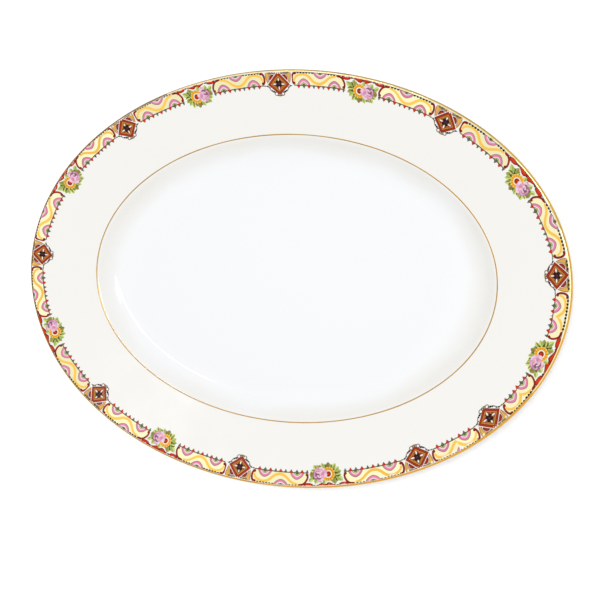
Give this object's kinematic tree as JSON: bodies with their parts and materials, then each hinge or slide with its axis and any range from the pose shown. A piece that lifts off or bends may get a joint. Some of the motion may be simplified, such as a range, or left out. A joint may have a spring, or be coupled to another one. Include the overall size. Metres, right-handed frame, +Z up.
{
  "type": "china serving platter",
  "caption": "Oval glazed china serving platter with a wide rim, flat well, foot ring, gilded lip and verge line, and a printed enamel border of panels, diamonds and flower sprays.",
  "frame": {"origin": "centre of the platter on the plane of its foot ring's underside, so it stands on z = 0", "axes": "+X along the long axis, +Y along the short axis, +Z up out of the well"},
  "size_m": [0.3554, 0.2538, 0.032],
  "materials": {
    "glazed_china": "gloss",
    "lip_gold": "polished",
    "line_gold": "satin",
    "border_enamel": "gloss"
  },
  "bodies": {
    "root": {"platter_body": "glazed_china", "gilt_edge": "lip_gold", "gilt_verge_line": "line_gold", "transfer_1": "border_enamel", "transfer_2": "border_enamel", "transfer_3": "border_enamel", "transfer_4": "border_enamel", "transfer_5": "border_enamel", "transfer_6": "border_enamel", "transfer_7": "border_enamel", "transfer_8": "border_enamel", "transfer_filler": "border_enamel"}
  },
  "joints": []
}
